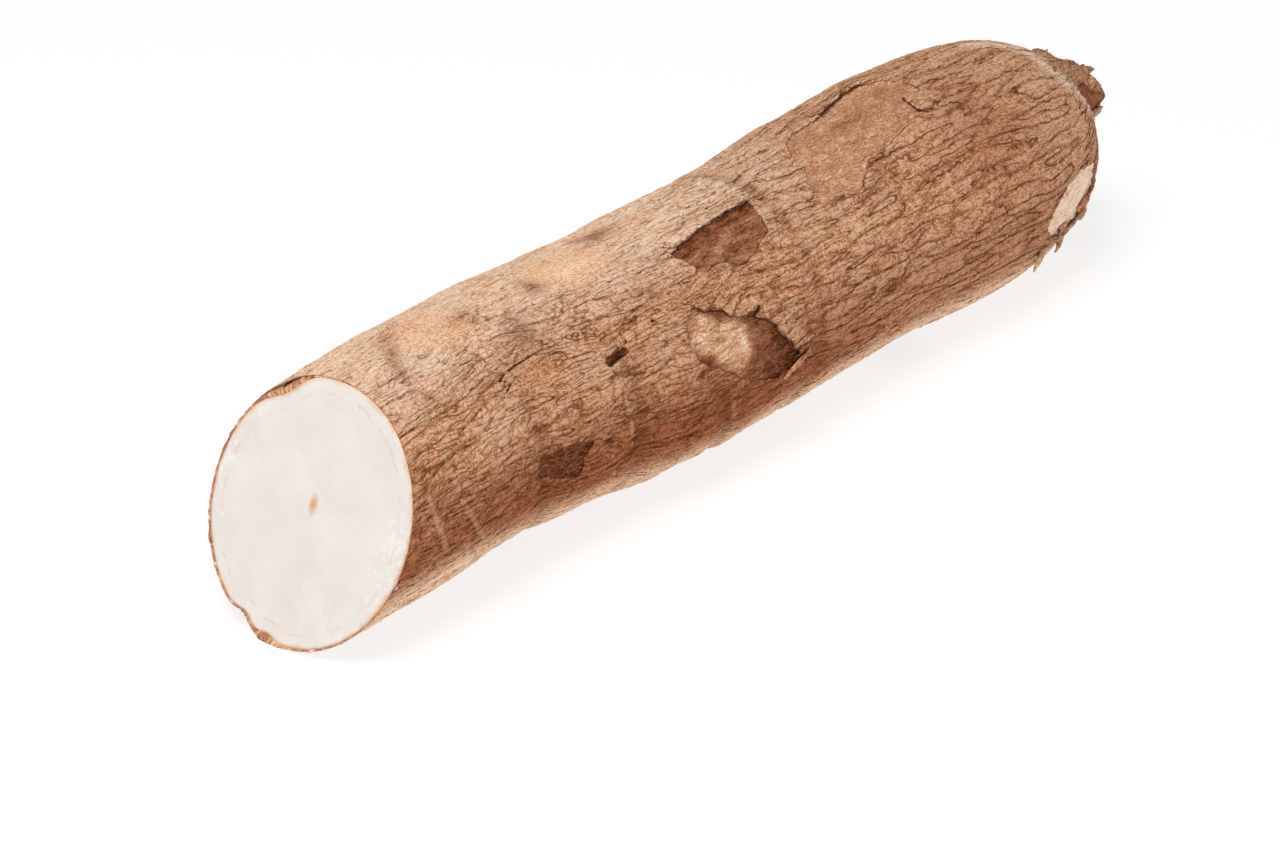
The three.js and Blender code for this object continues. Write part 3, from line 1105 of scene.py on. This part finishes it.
def apply(piece, kind, **settings):
    modifier = piece.modifiers.new(kind.lower(), kind)
    for name, value in settings.items():
        setattr(modifier, name, value)
    bpy.ops.object.modifier_apply(modifier=modifier.name)


RELIEF = bark_relief()
# What some attributes are where the skin is turned in over the cut, and where over the neck's break. The
# others go on as they are beside it.
TURNED_IN = {
    "loose": (0.0, 0.0),
    "bare": (4.0, 4.0),
    "bare_tone": (0.66, 0.55),
    "mottle": (0.8, 0.8),
    "sunk": (0.8, 0.8),
    "calm": (0.6, None),
}


def add_skin():
    start, end = ends(FORM)
    skin = grid_piece("bark", rolled(np.concatenate([start, FORM, end])), BARK)
    for name, values in skin_attributes().items():
        before = np.repeat(values[:1], RIM_ROWS, axis=0)
        after = np.repeat(values[-1:], RIM_ROWS, axis=0)
        for side, value in zip((before, after), TURNED_IN.get(name, (None, None))):
            if value is not None:
                side[:] = value
        if name == "grain":
            before[:, :, 0] -= np.arange(RIM_ROWS, 0, -1)[:, None]
            after = np.array(end)  # the snapped face has a grain of its own
        # the crack under the lifted strip is a dark line of painted shade
        if name == "crack":  # there is one under the lifted strip
            under = (FARTHEST - np.array([[0.15], [0.0]])) * rim_at(LIFTED, LIFTED_WIDE + 1)[:, 0]
            before[-2:] = FARTHEST - under
        store(skin, name, rolled(np.concatenate([before, values, after])))
    closed(skin)
    apply(skin, "NODES", node_group=RELIEF)
    pressed(skin)
    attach(skin, "root")
    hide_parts("cassava_root")


# The skin laid out flat, to find the point and the direction at a place on it. Faces that would reach over
# its seam are left out.
CORNERS = np.arange(PLACES.shape[0] * SKIN_AROUND).reshape(PLACES.shape[:2])
FLAT_FACES = np.concatenate(
    [
        np.stack([CORNERS[:-1, :-1], CORNERS[1:, :-1], CORNERS[1:, 1:]], axis=2).reshape(-1, 3),
        np.stack([CORNERS[:-1, :-1], CORNERS[1:, 1:], CORNERS[:-1, 1:]], axis=2).reshape(-1, 3),
    ]
)
FLAT_FACES = FLAT_FACES[np.ptp(PLACES.reshape(-1, 2)[FLAT_FACES, 1], axis=1) < SKIN_RADIUS]
FLAT_POINTS = [Vector((along, around, 0.0)) for along, around in PLACES.reshape(-1, 2)]
FLAT = BVHTree.FromPolygons(FLAT_POINTS, FLAT_FACES.tolist())
FORM_POINTS = [Vector(point) for point in FORM.reshape(-1, 3)]
OUT_POINTS = [Vector(point) for point in FORM_OUT.reshape(-1, 3)]


def at_place(along, turn):
    """The point on the skin at a place, mm, and the way out there. Past the skin's ends it goes on."""
    wanted = Vector((along, MM_PER_DEGREE * turn, 0.0))
    found, _, face, _ = FLAT.find_nearest(wanted)
    corners = [int(corner) for corner in FLAT_FACES[face]]
    flat = [FLAT_POINTS[corner] for corner in corners]
    point = barycentric_transform(found, *flat, *[FORM_POINTS[corner] for corner in corners])
    out = barycentric_transform(found, *flat, *[OUT_POINTS[corner] for corner in corners])
    past = along - found.x
    onwards = NECK_POINTS if past > 0 else LENGTHWISE
    return np.array(point) + past * onwards, unit(np.array(out))


def drawn(points, count):
    """A line through places, as evenly spaced places."""
    points = np.array(points, dtype=float)
    gaps = np.linalg.norm(np.diff(points * [1.0, MM_PER_DEGREE], axis=0), axis=1)
    at = np.concatenate([[0.0], np.cumsum(gaps)])
    return spaced(points, at, np.linspace(0, at[-1], count))


# Bark that has come loose: the line where it still holds, the line of its free edge and how far that has
# lifted, mm.
FLAKES = [
    ([(119, 109), (128, 106), (142, 104), (154, 104)],
     [(118, 115), (130, 111.5), (143, 109.5), (154, 109.5)], 0.9),
    ([(111, 137), (118, 141), (126, 147), (137, 150)],
     [(113, 142), (116, 146), (121, 148.5), (123, 152.5), (125, 154.5), (131, 155), (135, 155.5)], 1.0),
    ([(136, 152), (142, 160), (146, 170), (151, 181)],
     [(131, 157.5), (135, 161), (138, 166), (139, 171), (142, 175), (144, 181), (147, 184)], 0.8),
    ([(152, 186), (149, 192), (143, 197)], [(147.5, 183), (144, 187), (138, 192)], 1.6),
    ([(200, 80), (208, 77), (217, 74.5), (227, 73)], [(201, 86), (206, 83), (216, 80), (226, 79)], 0.7),
    ([(193, 136), (197, 129), (201, 124)], [(187.5, 133.5), (190, 128), (194, 125), (197, 121)], 0.5),
    ([(226, 101), (236, 103)], [(222, 111.5), (226, 114), (233, 113.5)], 0.35),
    ([(268, 203), (272, 203)], [(267, 213), (269, 217), (272, 212)], 1.3),
    ([(259, 208), (263, 208)], [(258, 217), (260.5, 221), (263, 216)], 1.3),
    ([(278, 201), (283, 199)], [(278, 209), (280, 213), (285, 206)], 1.2),
    ([(264, 300), (276, 308), (277, 322)], [(259, 302), (268, 304), (273, 313), (268, 322)], 1.1),
    ([(146, 16), (160, 11), (178, 11)], [(148, 23), (160, 18.5), (177, 18)], 1.0),
    ([(292, 60), (292, 95), (295, 120), (299, 142)],
     [(299, 66), (301.5, 82), (300.5, 96), (303, 112), (304, 128), (309, 147)], 0.7),
    ([(303, 190), (304, 215), (305, 240)], [(310, 194), (311.5, 210), (310.5, 222), (312, 238)], 1.0),
]
FLAKE_ROWS = 9  # from the hinge to the free edge
FLAKE_STEP, FLAKE_FEWEST = 1.1, 8  # mm between its columns, and how many there are at least
FLAKE_THICK = 0.5
FLAKE_SUNK = 0.35  # how deep its hinge lies under the skin
FLAKE_JAG = 0.16  # how uneven its free edge is, as a share of its width
FLAKE_CURL = 1.7  # 1 is a straight flake, and more curls up towards the free edge
FLAKE_TAPER = 2.5  # its ends narrow over this many columns


def add_flake(number, hinge, free, lift):
    """One piece of loose bark, from its hinge to its lifted free edge."""
    (first_along, first_turn), (last_along, last_turn) = free[0], free[-1]
    length = max(abs(last_along - first_along), abs(last_turn - first_turn) * MM_PER_DEGREE)
    count = max(FLAKE_FEWEST, int(length / FLAKE_STEP))
    hinge, free = drawn(hinge, count), drawn(free, count)
    points, lying = [], []
    for row in np.linspace(0, 1, FLAKE_ROWS):
        for column, (held, loose) in enumerate(zip(hinge, free)):
            jag = noise.noise(Vector((column * 0.9, 7.3 * number, 0.0)))
            taper = min(1.0, (min(column, count - 1 - column) + 0.3) / FLAKE_TAPER)
            share = row * taper * (1.0 + FLAKE_JAG * jag)
            along, turn = held + share * (loose - held)
            point, out = at_place(along, turn)
            points.append(point + out * (-FLAKE_SUNK + (lift + FLAKE_SUNK) * share**FLAKE_CURL))
            lying.append((along, turn))
    flake = grid_piece("flake", np.array(points).reshape(FLAKE_ROWS, count, 3), BARK)
    along, turn = np.array(lying).T
    store(flake, "grain", grain_at(along, MM_PER_DEGREE * turn))
    store(flake, "dust", dust_on(along, turn))
    for name, value in dict(loose=1.0, bare=-DEEPEST, crack=FARTHEST, scar=FARTHEST).items():
        store(flake, name, np.full(len(lying), value))
    bpy.ops.object.shade_smooth()
    apply(flake, "NODES", node_group=RELIEF)
    apply(flake, "SOLIDIFY", thickness=FLAKE_THICK * MM, offset=-1.0)
    return flake


LOOSE_LOWEST = 0.15  # loose bark keeps this far off the surface that the root lies on


def add_loose_bark():
    flakes = [add_flake(number, *flake) for number, flake in enumerate(FLAKES)]
    bpy.ops.object.select_all(action="DESELECT")
    for flake in flakes:
        flake.select_set(True)
    bpy.context.view_layer.objects.active = flakes[0]
    bpy.ops.object.join()
    loose = bpy.context.object
    loose.name = loose.data.name = "loose_bark"
    bpy.ops.object.mode_set(mode="EDIT")
    bpy.ops.mesh.select_all(action="SELECT")
    bpy.ops.mesh.normals_make_consistent(inside=False)
    bpy.ops.object.mode_set(mode="OBJECT")
    pressed(loose, LOOSE_LOWEST)
    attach(loose, "root")


FLESH_RINGS = 44
FLESH_CLOSER = 0.8  # below 1, the rings are closer together towards the edge
FLESH_DEEP = 2.2
FLESH_DIP = 0.35  # how far the flesh dips where it meets the bark
FLESH_UNDER = 0.85  # its edge is this share of the way in behind the bark's
WAVE_SIZE, WAVE_DEEP = (9, 5), 0.12  # the knife's waves, mm across and up, and how deep
TEAR_SIZE, TEAR_DEEP = (1.3, 4), 0.22  # and the tears that it left low on the face
TEARS_TOP, TEARS_FADE = -14.0, 8.0
FLAT_EDGE = 1.5  # neither reaches nearer to the edge than this


def unevenness(spot, size, level):
    """Noise over the cut face, with lumps of that size, mm. Another level gives other noise."""
    across, up = size
    points = [Vector((u / across, v / up, level)) for u, v, _ in spot.reshape(-1, 3)]
    return np.array([noise.noise(point) for point in points]).reshape(spot.shape[:2])


def add_flesh():
    """The cut face: a plug of flesh inside the bark's edge, with the faint waves that the knife left."""
    edge = FORM[0] + FLESH_UNDER * rim_inwards()
    centre = edge.mean(axis=0)
    reach = np.linalg.norm(edge - centre, axis=1)
    rings, inset = [], []
    for share in np.linspace(0, 1, FLESH_RINGS) ** FLESH_CLOSER:
        dip = FLESH_DIP if share == 1 else 0.0
        rings.append(centre + share * (edge - centre) + dip * LENGTHWISE)
        inset.append((1 - share) * reach)
    behind = centre + FLESH_DEEP * LENGTHWISE
    rings += [edge + FLESH_DEEP * LENGTHWISE, np.broadcast_to(behind, edge.shape)]
    inset += [0 * reach, 0 * reach]
    grid, inset = rolled(np.array(rings)), rolled(np.array(inset))
    up = unit(np.array([CUT_LEAN, 0.0, 1.0]))
    spot = np.stack([-(grid - centre)[:, :, 1], (grid - centre) @ up, 0 * grid[:, :, 0]], axis=2)
    low = smoothstep((TEARS_TOP - spot[:, :, 1]) / TEARS_FADE)
    relief = WAVE_DEEP * unevenness(spot, WAVE_SIZE, 3.0)
    relief += TEAR_DEEP * unevenness(spot, TEAR_SIZE, 9.0) * low
    relief *= smoothstep(inset / FLAT_EDGE)
    grid = grid - relief[:, :, None] * LENGTHWISE
    flesh = grid_piece("flesh", grid, FLESH)
    store(flesh, "spot", spot)
    store(flesh, "inset", inset)
    closed(flesh)
    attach(flesh, "root")


add_skin()
add_loose_bark()
add_flesh()

bpy.context.scene.view_settings.view_transform = "Standard"
